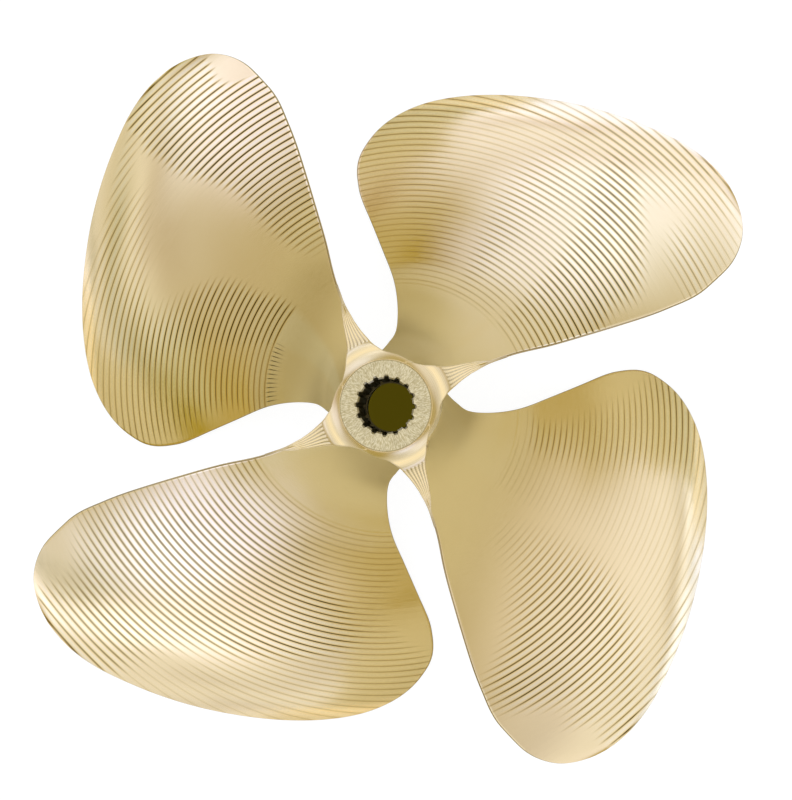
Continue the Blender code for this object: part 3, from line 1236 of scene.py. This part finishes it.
class FinishKit:
    """The shared node groups, each built once, and the steps that every finish goes through."""

    # painted reflection: the colour that a surface shows in later reflections
    TWICE_MIRRORED: Colour = (0.99, 0.96, 0.90)

    def __init__(self) -> None:
        """Builds every group."""
        self.lines = self.cutter_lines()
        self.grain = self.metal_grain()
        self.tone = self.cast_tone()

    @staticmethod
    def group(name: str, inputs: dict[str, float], outputs: tuple[str, ...]) -> tuple[Web, dict, dict]:
        """Starts a node group.

        Args:
            name: Name of the group.
            inputs: Its number inputs with their values; an input named Place is a vector.
            outputs: Names of its outputs, which are numbers.

        Returns:
            The group's web, its input sockets and its output sockets.
        """
        tree = bpy.data.node_groups.new(name, "ShaderNodeTree")
        for label, value in inputs.items():
            kind = "NodeSocketVector" if label == "Place" else "NodeSocketFloat"
            socket = tree.interface.new_socket(label, in_out="INPUT", socket_type=kind)
            if label != "Place":
                socket.default_value = value
        for label in outputs:
            tree.interface.new_socket(label, in_out="OUTPUT", socket_type="NodeSocketFloat")
        web = Web(tree)
        return web, web.add("NodeGroupInput").outputs, web.add("NodeGroupOutput").inputs

    def cutter_lines(self) -> bpy.types.NodeTree:
        """Thin lines at even steps of radius, where two cutter passes meet.

        Returns:
            The group, which also puts out a number of its own for each pass.
        """
        inputs = {"Radius": 0.0, "First": 0.0, "Pitch": 0.005, "Half width": 0.0005, "Start": 0.0}
        web, given, out = self.group("cutter_lines", inputs, ("Line", "Pass"))
        steps = web.sum("DIVIDE", web.sum("SUBTRACT", given["Radius"], given["First"]), given["Pitch"])
        nearest = web.sum("FLOOR", web.sum("ADD", steps, 0.5))
        away = web.sum("MULTIPLY", web.sum("ABSOLUTE", web.sum("SUBTRACT", steps, nearest)), given["Pitch"])
        line = web.ramp(web.sum("DIVIDE", away, given["Half width"]), 1.0, 0.0)
        milled = web.sum("GREATER_THAN", given["Radius"], given["Start"])
        web.give(out["Line"], web.sum("MULTIPLY", line, milled))
        number = web.add("TexWhiteNoise", {"W": web.sum("FLOOR", steps)}, noise_dimensions="1D")
        web.give(out["Pass"], number.outputs["Value"])
        return web.tree

    def metal_grain(self) -> bpy.types.NodeTree:
        """Streaks of a cut or rubbed surface, as long as the place given is stretched.

        Returns:
            The group.
        """
        inputs = {"Place": 0.0, "Scale": 800.0, "Coarse": 90.0}
        web, given, out = self.group("metal_grain", inputs, ("Fine", "Broad"))
        for label, scale, detail in (("Fine", "Scale", 3.0), ("Broad", "Coarse", 2.0)):
            values = {"Vector": given["Place"], "Scale": given[scale], "Detail": detail, "Roughness": 0.6}
            web.give(out[label], web.add("TexNoise", values).outputs[0])
        return web.tree

    def cast_tone(self) -> bpy.types.NodeTree:
        """Slow change of tone over a casting, with a few faint cloudy spots.

        Returns:
            The group.
        """
        web, given, out = self.group("cast_tone", {"Place": 0.0, "Scale": 9.0}, ("Cloud", "Spots"))
        cloud = {"Vector": given["Place"], "Scale": given["Scale"], "Detail": 3.0}
        web.give(out["Cloud"], web.add("TexNoise", cloud).outputs[0])
        spots = {"Vector": given["Place"], "Scale": web.sum("MULTIPLY", given["Scale"], 9.0), "Detail": 4.0}
        web.give(out["Spots"], web.ramp(web.add("TexNoise", spots).outputs[0], 0.58, 0.75))
        return web.tree

    @staticmethod
    def use(web: Web, group: bpy.types.NodeTree, **inputs: object) -> object:
        """Places a group in a material.

        Args:
            web: The material's web.
            group: The group.
            inputs: Values or sockets by input name, with _ for a space.

        Returns:
            The group's output sockets.
        """
        named = {label.replace("_", " "): value for label, value in inputs.items()}
        return web.add("Group", named, node_tree=group).outputs

    @staticmethod
    def material(name: str, metallic: float = 1.0) -> tuple[bpy.types.Material, Web, object]:
        """Starts a material.

        Args:
            name: Name of the material.
            metallic: The shader's metallic value.

        Returns:
            The material, its web and its shader's inputs.
        """
        made = bpy.data.materials.new(name)
        made.use_nodes = True
        shader = made.node_tree.nodes["Principled BSDF"].inputs
        shader["Metallic"].default_value = metallic
        return made, Web(made.node_tree), shader

    @staticmethod
    def seen(web: Web, colour: object, mirrored: object, twice_mirrored: object) -> object:
        """Colour of a surface: its own to the camera, and painted reflection colours where another surface
        mirrors it.

        Args:
            web: The material's web.
            colour: The colour seen.
            mirrored: The painted colour in a first reflection.
            twice_mirrored: The painted colour in later reflections.

        Returns:
            The colour for the shader.
        """
        path = web.add("LightPath").outputs
        later = web.sum("GREATER_THAN", path["Ray Depth"], 1.5)
        return web.blend(path["Is Camera Ray"], web.blend(later, mirrored, twice_mirrored), colour)

    def clouded(self, web: Web, scale: float, share: float, colours: tuple[Colour, Colour]) -> object:
        """Colour of bare metal that changes slowly over the casting.

        Args:
            web: The material's web.
            scale: How closely the clouds follow each other.
            share: How much of the second colour a cloud holds.
            colours: Colour of the metal and of its clouds.

        Returns:
            The colour.
        """
        tone = self.use(web, self.tone, Place=web.place(), Scale=scale)
        return web.blend(web.ramp(tone["Cloud"], 0.3, 0.7, 0.0, share), *colours)

    @staticmethod
    def join(web: Web, shader: object, colour: object, rough: object, relief: tuple | None = None) -> None:
        """Joins what a finish has made to its shader.

        Args:
            web: The material's web.
            shader: The shader's inputs.
            colour: The colour.
            rough: The roughness.
            relief: The fine relief and its height in metres, if the finish has one.
        """
        web.give(shader["Base Color"], colour)
        web.give(shader["Roughness"], rough)
        if relief:
            values = {"Height": relief[0], "Distance": relief[1], "Strength": 1.0}
            web.give(shader["Normal"], web.add("Bump", values).outputs[0])


@dataclass(frozen=True)
class MilledBronze:
    """Finish of a blade: milled in circular passes past the root, and dressed smooth round the root."""

    colour: Colour = (0.875, 0.695, 0.395)
    cloud_colour: Colour = (0.845, 0.66, 0.365)
    # painted reflections: the colour that other surfaces mirror, paler than the metal's own
    mirrored_colour: Colour = (0.95, 0.91, 0.78)
    # painted shade in and beside the lines and on the edges, and a painted highlight on the tips and ridges
    line_shade_colour: Colour = (0.055, 0.036, 0.004)
    flank_shade_colour: Colour = (0.82, 0.575, 0.20)
    edge_shade_colour: Colour = (0.36, 0.27, 0.13)
    painted_highlight_colour: Colour = (0.98, 0.93, 0.76)
    roughness: float = 0.18
    line_half_width: float = 0.00085
    flank_shade_reach: float = 2.4
    ridge_highlight_share: float = 0.30
    pass_shade: float = 0.06
    strokes: float = 34.0
    stroke_shares: tuple[float, float] = (0.45, 0.1)
    grain_run: float = 0.012
    grain_height: float = 0.000005
    edge_start: float = 0.085
    edge_full: float = 0.110
    edge_share: float = 0.85

    def make(self, kit: FinishKit, passes: MilledPasses, name: str) -> bpy.types.Material:
        """Builds the material.

        Args:
            kit: The shared groups.
            passes: The cutter passes, for the place of their lines.
            name: Name of the material.

        Returns:
            The material.
        """
        made, web, shader = kit.material(name)
        radius = web.vector("LENGTH", web.vector("MULTIPLY", web.place(), (1.0, 1.0, 0.0)))
        lay = web.split(web.add("UVMap", uv_map=LAY).outputs[0])
        share, zone = lay["X"], lay["Y"]
        line_shade, chatter_and_valley_shade, painted_highlight = [web.noted(mark) for mark in (LINE_SHADE, CHATTER_AND_SHADE, PAINTED_HIGHLIGHT)]
        run = web.joined(web.sum("MULTIPLY", share, self.grain_run), radius, zone)
        grain = kit.use(web, kit.grain, Place=run, Scale=1600.0, Coarse=170.0)
        steps = {"Radius": radius, "First": passes.first_line, "Pitch": passes.pitch, "Start": passes.start}
        lines = kit.use(web, kit.lines, **steps, Half_width=self.line_half_width)
        beside = kit.use(web, kit.lines, **steps, Half_width=self.line_half_width * self.flank_shade_reach)

        # dark lines of painted shade in the cutter grooves, a little broken along their length, and the
        # chatter strokes, or on the webs the painted shade in the flute valleys
        strength = web.sum("MINIMUM", web.sum("MULTIPLY", lines["Line"], line_shade), 1.0)
        strength = web.sum("MULTIPLY", strength, web.ramp(grain["Broad"], 0.25, 0.65, 0.8, 1.0))
        stroke = web.sum("ABSOLUTE", web.sum("SINE", web.sum("MULTIPLY", share, math.pi * self.strokes)))
        off_face = web.sum("SUBTRACT", 1.0, web.sum("LESS_THAN", zone, 0.5))
        stroke = web.sum("MAXIMUM", web.ramp(stroke, *self.stroke_shares), off_face)
        strength = web.sum("MAXIMUM", strength, web.sum("MULTIPLY", chatter_and_valley_shade, stroke))

        # the metal, each pass a random tone of its own, a painted highlight over the tips and on the ridges
        # between the lines, and a golden painted shade beside the lines
        colour = kit.clouded(web, 11.0, 0.6, (self.colour, self.cloud_colour))
        colour = web.blend(painted_highlight, colour, self.painted_highlight_colour)
        shade = web.sum("MULTIPLY", line_shade, self.pass_shade)
        shade = web.sum("MULTIPLY", web.sum("SUBTRACT", lines["Pass"], 0.5), shade)
        colour = web.blend(web.sum("MAXIMUM", shade, 0.0), colour, self.line_shade_colour)
        clear = web.sum("MINIMUM", line_shade, 1.0)
        flank_shade = web.sum("MULTIPLY", beside["Line"], clear)
        ridge_highlight = web.sum("MULTIPLY", web.sum("SUBTRACT", clear, flank_shade), self.ridge_highlight_share)
        colour = web.blend(ridge_highlight, colour, self.painted_highlight_colour)
        colour = web.blend(flank_shade, colour, self.flank_shade_colour)
        colour = web.blend(strength, colour, self.line_shade_colour)

        # painted shade darkening the narrow sides of the blade past the root, which are the zones with odd
        # numbers
        odd = web.sum("GREATER_THAN", web.sum("PINGPONG", zone, 1.0), 0.5)
        edge_shade = web.ramp(radius, self.edge_start, self.edge_full, 0.0, self.edge_share)
        colour = web.blend(web.sum("MULTIPLY", odd, edge_shade), colour, self.edge_shade_colour)
        # painted reflections: other surfaces mirror a paler colour than the camera sees
        colour = kit.seen(web, colour, self.mirrored_colour, kit.TWICE_MIRRORED)
        rough = web.sum("ADD", self.roughness, web.ramp(grain["Fine"], 0.3, 0.7, -0.03, 0.05))
        kit.join(web, shader, colour, rough, (grain["Fine"], self.grain_height))
        return made


@dataclass(frozen=True)
class TurnedBronze:
    """Finish of the hub's barrel: turned, then rubbed down."""

    colour: Colour = (0.88, 0.68, 0.38)
    cloud_colour: Colour = (0.85, 0.64, 0.34)
    # painted reflection: the colour that other surfaces mirror, paler than the metal's own
    mirrored_colour: Colour = (0.95, 0.90, 0.76)
    roughness: float = 0.30
    ring_stretch: tuple[float, float, float] = (0.03, 0.03, 1.0)
    grain_height: float = 0.000001

    def make(self, kit: FinishKit, name: str) -> bpy.types.Material:
        """Builds the material.

        Args:
            kit: The shared groups.
            name: Name of the material.

        Returns:
            The material.
        """
        made, web, shader = kit.material(name)
        rings = web.vector("MULTIPLY", web.place(), self.ring_stretch)
        grain = kit.use(web, kit.grain, Place=rings, Scale=1500.0, Coarse=200.0)
        colour = kit.clouded(web, 20.0, 0.5, (self.colour, self.cloud_colour))
        colour = kit.seen(web, colour, self.mirrored_colour, kit.TWICE_MIRRORED)
        rough = web.sum("ADD", self.roughness, web.ramp(grain["Broad"], 0.3, 0.7, -0.04, 0.06))
        kit.join(web, shader, colour, rough, (grain["Fine"], self.grain_height))
        return made


@dataclass(frozen=True)
class DressedRing:
    """Finish of the flat ring round the socket: pale, with rough radial file marks and small pits."""

    colour: Colour = (0.63, 0.555, 0.36)
    dark_colour: Colour = (0.31, 0.24, 0.10)
    roughness: float = 0.42
    mark_share: float = 0.68
    mark_stretch: float = 8.0
    mark_height: float = 0.00010
    pit_scale: float = 420.0
    pit_limits: tuple[float, float] = (0.60, 0.72)
    rim_start: float = 0.0383
    rim_full: float = 0.0387
    rim_share: float = 0.6

    def make(self, kit: FinishKit, name: str) -> bpy.types.Material:
        """Builds the material.

        Args:
            kit: The shared groups.
            name: Name of the material.

        Returns:
            The material.
        """
        made, web, shader = kit.material(name)
        place = web.place()
        flat = web.vector("MULTIPLY", place, (1.0, 1.0, 0.0))
        around, reach = web.split(web.vector("NORMALIZE", flat)), web.vector("LENGTH", flat)
        rays = web.joined(around["X"], around["Y"], web.sum("MULTIPLY", reach, self.mark_stretch))
        grain = kit.use(web, kit.grain, Place=rays, Scale=46.0, Coarse=14.0)
        pits = web.add("TexNoise", {"Vector": place, "Scale": self.pit_scale, "Detail": 3.0}).outputs[0]
        marks = web.sum("MULTIPLY", web.ramp(grain["Fine"], 0.38, 0.62), self.mark_share)
        colour = web.blend(marks, self.colour, self.dark_colour)
        colour = web.blend(web.ramp(pits, *self.pit_limits, 0.0, 0.5), colour, self.dark_colour)
        rim = web.ramp(reach, self.rim_start, self.rim_full, 0.0, self.rim_share)
        colour = web.blend(rim, colour, self.dark_colour)
        rough = web.sum("ADD", self.roughness, web.ramp(grain["Broad"], 0.3, 0.7, -0.05, 0.08))
        height = web.sum("SUBTRACT", grain["Fine"], web.ramp(pits, *self.pit_limits, 0.0, 0.8))
        kit.join(web, shader, colour, rough, (height, self.mark_height))
        return made


@dataclass(frozen=True)
class BoreWallShade:
    """Finish inside the bore: machined metal painted dark olive, a painted shade for the deep bore."""

    colour: Colour = (0.10, 0.075, 0.02)
    light_colour: Colour = (0.16, 0.12, 0.03)
    metallic: float = 0.6
    roughness: float = 0.45

    def make(self, kit: FinishKit, name: str) -> bpy.types.Material:
        """Builds the material.

        Args:
            kit: The shared groups.
            name: Name of the material.

        Returns:
            The material.
        """
        made, web, shader = kit.material(name, self.metallic)
        tone = kit.use(web, kit.tone, Place=web.place(), Scale=90.0)
        colour = web.blend(web.ramp(tone["Cloud"], 0.35, 0.7, 0.0, 0.6), self.colour, self.light_colour)
        rough = web.sum("ADD", self.roughness, web.ramp(tone["Spots"], 0.0, 1.0, -0.1, 0.1))
        kit.join(web, shader, colour, rough)
        return made


@dataclass(frozen=True)
class SoftLight:
    """One soft patch of the dome, or of what the floor mirrors, in degrees.

    The width is on the side of the lower azimuths, and on both where no far width is given. The dome's
    patches are added to its light, so a dark one has negative values. The other ones replace what is there.
    """

    azimuth: float
    elevation: float
    width: float
    height: float
    light: Colour
    softness: float = 0.5
    far_width: float = 0.0

    @property
    def over_the_seam(self) -> bool:
        """Whether it reaches over the line where bearings jump from 180 to -180 degrees."""
        return abs(self.azimuth) + (1 + self.softness) * max(self.width, self.far_width) > 180

    def share(self, web: Web, spot: object) -> object:
        """How much of the patch shows in each direction.

        Args:
            web: The web of the dome, or of the sheet that the patch shades.
            spot: Vector of the bearing round the shaft axis and the height, in degrees.

        Returns:
            The share, from 0 to 1.
        """
        turn = web.vector("SUBTRACT", spot, (self.azimuth, self.elevation, 0.0))
        if self.over_the_seam:
            turn = web.vector("WRAP", turn, (180.0, 1000.0, 1.0), (-180.0, -1000.0, -1.0))
        away = web.vector("MULTIPLY", turn, (1 / (self.far_width or self.width), 1 / self.height, 0.0))
        if self.far_width:
            near = web.vector("MULTIPLY", turn, (-1 / self.width, 1 / self.height, 0.0))
            away = web.vector("MAXIMUM", near, away)
        return web.ramp(web.vector("LENGTH", away), 1 + self.softness, 1 - self.softness)


@dataclass
class Studio:
    """Pale floor, a pale wall round it that only the camera sees, and a dome of soft light. The floor
    carries a painted dark disc of shade under the bore, and painted shade where the metal mirrors it.

    The heights of the floor's shades count 10 degrees for each metre from the shaft axis.
    """

    floor_radius: float = 6.0
    floor_colour: Colour = (0.16, 0.16, 0.16)
    floor_roughness: float = 0.9
    floor_specular: float = 0.1
    # painted shade: the dark disc on the floor seen through the bore, which also glows its own dark colour
    # to the camera
    bore_disc_shade: Colour = (0.068, 0.053, 0.0024)
    # painted shade: the floor as the metal mirrors it, darker and warmer than the camera sees it, with
    # darker and lighter painted patches
    mirrored_colour: Colour = (0.67, 0.632, 0.425)
    twice_mirrored_colour: Colour = (0.77, 0.75, 0.58)
    floor_shades: tuple[SoftLight, ...] = (
        SoftLight(-135, 15, 30, 11, (0.42, 0.37, 0.19), 0.4),
        SoftLight(152, 15, 22, 11, (0.50, 0.46, 0.26), 0.4),
        SoftLight(118, 16, 13, 11, (0.74, 0.72, 0.60), 0.6),
    )
    degrees_each_metre: float = 10.0
    floor_glow: float = 0.90
    bore_disc_shade_glow: float = 0.95
    bore_edge: float = 0.032
    sides: int = 96
    low_light: Colour = (0.60, 0.56, 0.41)
    layers: tuple[tuple[float, float, Colour], ...] = (
        (4, 26, (0.70, 0.69, 0.66)),
        (20, 42, (0.97, 1.02, 1.16)),
        (50, 72, (1.35, 1.35, 1.35)),
    )
    shades: tuple[SoftLight, ...] = (
        SoftLight(174, 8, 31, 25, (0.57, 0.50, 0.24), 0.22, 6),
        SoftLight(-96, 10, 36, 27, (0.54, 0.45, 0.15), 0.30, 8),
        SoftLight(-4, 8, 36, 27, (0.57, 0.50, 0.24), 0.22, 12),
        SoftLight(84, 8, 29, 25, (0.57, 0.50, 0.24), 0.22, 12),
    )
    patches: tuple[SoftLight, ...] = (
        SoftLight(127, 14, 17, 22, (0.46, 0.60, 1.18)), SoftLight(152, 34, 24, 12, (0.20, 0.24, 0.48)),
        SoftLight(-67, 7, 14, 18, (0.48, 0.64, 1.50)), SoftLight(-52, 28, 18, 15, (0.32, 0.35, 0.56)),
        SoftLight(-170, 24, 14, 18, (0.40, 0.47, 0.95)), SoftLight(-70, 33, 6, 6, (-0.40, -0.42, -0.62)),
        SoftLight(-52, 38, 10, 8, (0.20, 0.28, 0.58)), SoftLight(-73, 20, 9, 9, (0.14, 0.22, 0.44)),
        SoftLight(-104, 29, 10, 8, (-0.08, -0.08, -0.10)), SoftLight(-119, 25, 9, 8, (0.06, 0.14, 0.22)),
        SoftLight(-107, 36, 9, 8, (-0.10, -0.06, -0.03)), SoftLight(-140, 33, 9, 9, (-0.19, -0.24, -0.34)),
        SoftLight(-126, 34, 8, 7, (0.12, 0.13, 0.17)), SoftLight(-154, 34, 10, 8, (0.17, 0.23, 0.46)),
        SoftLight(172, 31, 9, 9, (-0.20, -0.28, -0.38)), SoftLight(-179, 44, 12, 8, (0.20, 0.23, 0.44)),
        SoftLight(-16, 34, 11, 10, (-0.18, -0.21, -0.26)), SoftLight(88, 36, 9, 9, (-0.17, -0.20, -0.27)),
        SoftLight(111, 17, 12, 12, (0.12, 0.17, 0.25)), SoftLight(140, 34, 8, 7, (-0.09, -0.13, -0.20)),
        SoftLight(142, 6, 9, 9, (-0.20, -0.26, -0.42)), SoftLight(21, 34, 8, 7, (-0.10, -0.12, -0.14)),
        SoftLight(11, 30, 12, 9, (-0.12, -0.13, -0.13)), SoftLight(36, 20, 23, 15, (0.22, 0.24, 0.36)),
        SoftLight(66, 34, 20, 8, (0.16, 0.18, 0.30)), SoftLight(-104, 42, 26, 15, (-0.15, -0.18, -0.32)),
        SoftLight(104, 44, 11, 8, (0.55, 0.66, 1.00)),
    )

    @staticmethod
    def spot(web: Web, way: object, height: object) -> object:
        """Vector of the bearing round the shaft axis and a height, in degrees.

        Args:
            web: The web to add to.
            way: Numbers X and Y of the direction or place.
            height: The height.

        Returns:
            The vector.
        """
        bearing = web.sum("MULTIPLY", web.sum("ARCTAN2", way["Y"], way["X"]), 180 / math.pi)
        return web.joined(bearing, height)

    def floor(self) -> bpy.types.Object:
        """Makes the floor, a wide round sheet at level 0, with a painted dark disc of shade under the bore.

        Returns:
            The floor.
        """
        data = bmesh.new()
        bmesh.ops.create_circle(data, cap_ends=True, segments=self.sides, radius=self.floor_radius)
        made = Workshop.piece("floor", data)
        material, web, shader = FinishKit.material("pale_floor", 0.0)
        place = web.place()
        reach = web.vector("LENGTH", place)
        # painted shade: a dark disc under the bore, seen through it; the rest of the floor glows evenly pale
        # to the camera
        outside = web.sum("GREATER_THAN", reach, self.bore_edge)
        spot = self.spot(web, web.split(place), web.sum("MULTIPLY", reach, self.degrees_each_metre))
        # painted shade: the floor as the metal mirrors it, with its darker and lighter painted patches
        mirrored = self.mirrored_colour
        for shade in self.floor_shades:
            mirrored = web.blend(shade.share(web, spot), mirrored, shade.light)
        colour = web.blend(outside, self.bore_disc_shade, self.floor_colour)
        colour = FinishKit.seen(web, colour, mirrored, self.twice_mirrored_colour)
        FinishKit.join(web, shader, colour, self.floor_roughness)
        shader["Specular IOR Level"].default_value = self.floor_specular
        glow = web.sum("ADD", self.bore_disc_shade_glow, web.sum("MULTIPLY", outside, self.floor_glow - self.bore_disc_shade_glow))
        to_camera = web.add("LightPath").outputs["Is Camera Ray"]
        web.give(shader["Emission Strength"], web.sum("MULTIPLY", glow, to_camera))
        web.give(shader["Emission Color"], web.blend(outside, self.bore_disc_shade, (1.0, 1.0, 1.0)))
        made.data.materials.append(material)
        return made

    def backdrop(self) -> bpy.types.Object:
        """Makes the pale wall round the floor, which only the camera sees.

        Returns:
            The wall.
        """
        data = bmesh.new()
        size = self.floor_radius
        bmesh.ops.create_cone(
            data, cap_ends=False, segments=self.sides, radius1=size, radius2=size, depth=2 * size
        )
        made = Workshop.piece("backdrop", data)
        material, _, shader = FinishKit.material("pale_backdrop", 0.0)
        shader["Base Color"].default_value = (0.0, 0.0, 0.0, 1.0)
        shader["Specular IOR Level"].default_value = 0.0
        shader["Emission Color"].default_value = (1.0, 1.0, 1.0, 1.0)
        shader["Emission Strength"].default_value = 1.0
        made.data.materials.append(material)
        for ray in ("diffuse", "glossy", "transmission", "shadow"):
            setattr(made, f"visible_{ray}", False)
        return made

    def dome(self) -> None:
        """Lights the scene from a world of soft patches round a pale dome."""
        world = bpy.data.worlds.new("studio_dome")
        bpy.context.scene.world = world
        world.use_nodes = True
        web = Web(world.node_tree)
        way = web.split(web.add("TexCoord").outputs["Generated"])
        height = web.sum("MULTIPLY", web.sum("ARCSINE", way["Z"]), 180 / math.pi)
        spot = self.spot(web, way, height)
        light = self.low_light
        for start, full, colour in self.layers:
            light = web.blend(web.ramp(height, start, full), light, colour)
        for shade in self.shades:
            light = web.blend(shade.share(web, spot), light, shade.light)
        for patch in self.patches:
            light = web.vector("MULTIPLY_ADD", patch.share(web, spot), patch.light, light)
        web.give(world.node_tree.nodes["Background"].inputs["Color"], light)


@dataclass
class PhotoCamera:
    """Camera over the nut end, where the photograph was taken from."""

    datum_height: float
    distance: float = 1.470
    focal_share: float = 1.1207
    tilt_x: float = math.radians(-0.98)
    tilt_y: float = math.radians(-2.48)
    shift_x: float = -0.00618
    shift_y: float = -0.00592
    picture_width: int = 792
    picture_height: int = 800
    sensor: float = 36.0
    nearest: float = 0.05
    farthest: float = 50.0

    def build(self) -> bpy.types.Object:
        """Makes the camera and gives it to the scene.

        Returns:
            The camera.
        """
        lens = bpy.data.cameras.new("photo_camera")
        lens.sensor_fit = "VERTICAL"
        lens.sensor_height = self.sensor
        lens.sensor_width = self.sensor * self.picture_width / self.picture_height
        lens.lens = self.focal_share * self.distance * 1000 / self.picture_height * self.sensor
        lens.clip_start, lens.clip_end = self.nearest, self.farthest
        camera = bpy.data.objects.new("photo_camera", lens)
        bpy.context.scene.collection.objects.link(camera)
        seen = (
            Matrix.Translation((self.shift_x, self.shift_y, 0))
            @ Matrix.Rotation(self.tilt_y, 4, "Y")
            @ Matrix.Rotation(self.tilt_x, 4, "X")
            @ Matrix.Translation((0, 0, -self.datum_height))
        )
        camera.matrix_world = seen.inverted() @ Matrix.Translation((0, 0, self.distance))
        bpy.context.scene.camera = camera
        return camera


def main() -> None:
    """Builds the propeller, dresses it, and sets up floor, light and camera."""
    logging.basicConfig(level=logging.INFO, format="%(name)s: %(message)s")
    hub_form, passes = HubForm(), MilledPasses()
    kit = FinishKit()

    turner = Hub(hub_form)
    hub = turner.build()
    finishes = {
        HubFinish.BARREL: TurnedBronze().make(kit, "turned_bronze"),
        HubFinish.RING: DressedRing().make(kit, "dressed_ring"),
        HubFinish.BORE: BoreWallShade().make(kit, "bore_wall_painted_shade"),
    }
    turner.dress(hub, finishes)
    Workshop.hand_over(hub)

    blades = Blade(BladeForm(), hub_form, passes).build_all(MARKS_AND_PAINTED_LIGHT)
    webs = RootWeb(WebForm(), BladeForm(), hub_form).build_all(len(MARKS_AND_PAINTED_LIGHT))
    milled = MilledBronze().make(kit, passes, "milled_bronze")
    rubbed = MilledBronze(colour=(0.785, 0.625, 0.355), cloud_colour=(0.755, 0.60, 0.325), roughness=0.28)
    fluted = rubbed.make(kit, passes, "fluted_bronze")
    for piece in blades + webs:
        piece.data.materials.append(milled if piece in blades else fluted)
        Workshop.hand_over(piece)

    studio = Studio()
    studio.floor()
    studio.backdrop()
    studio.dome()
    PhotoCamera(hub_form.datum_height).build()
    bpy.context.scene.view_settings.view_transform = "Standard"


if __name__ == "__main__":
    main()
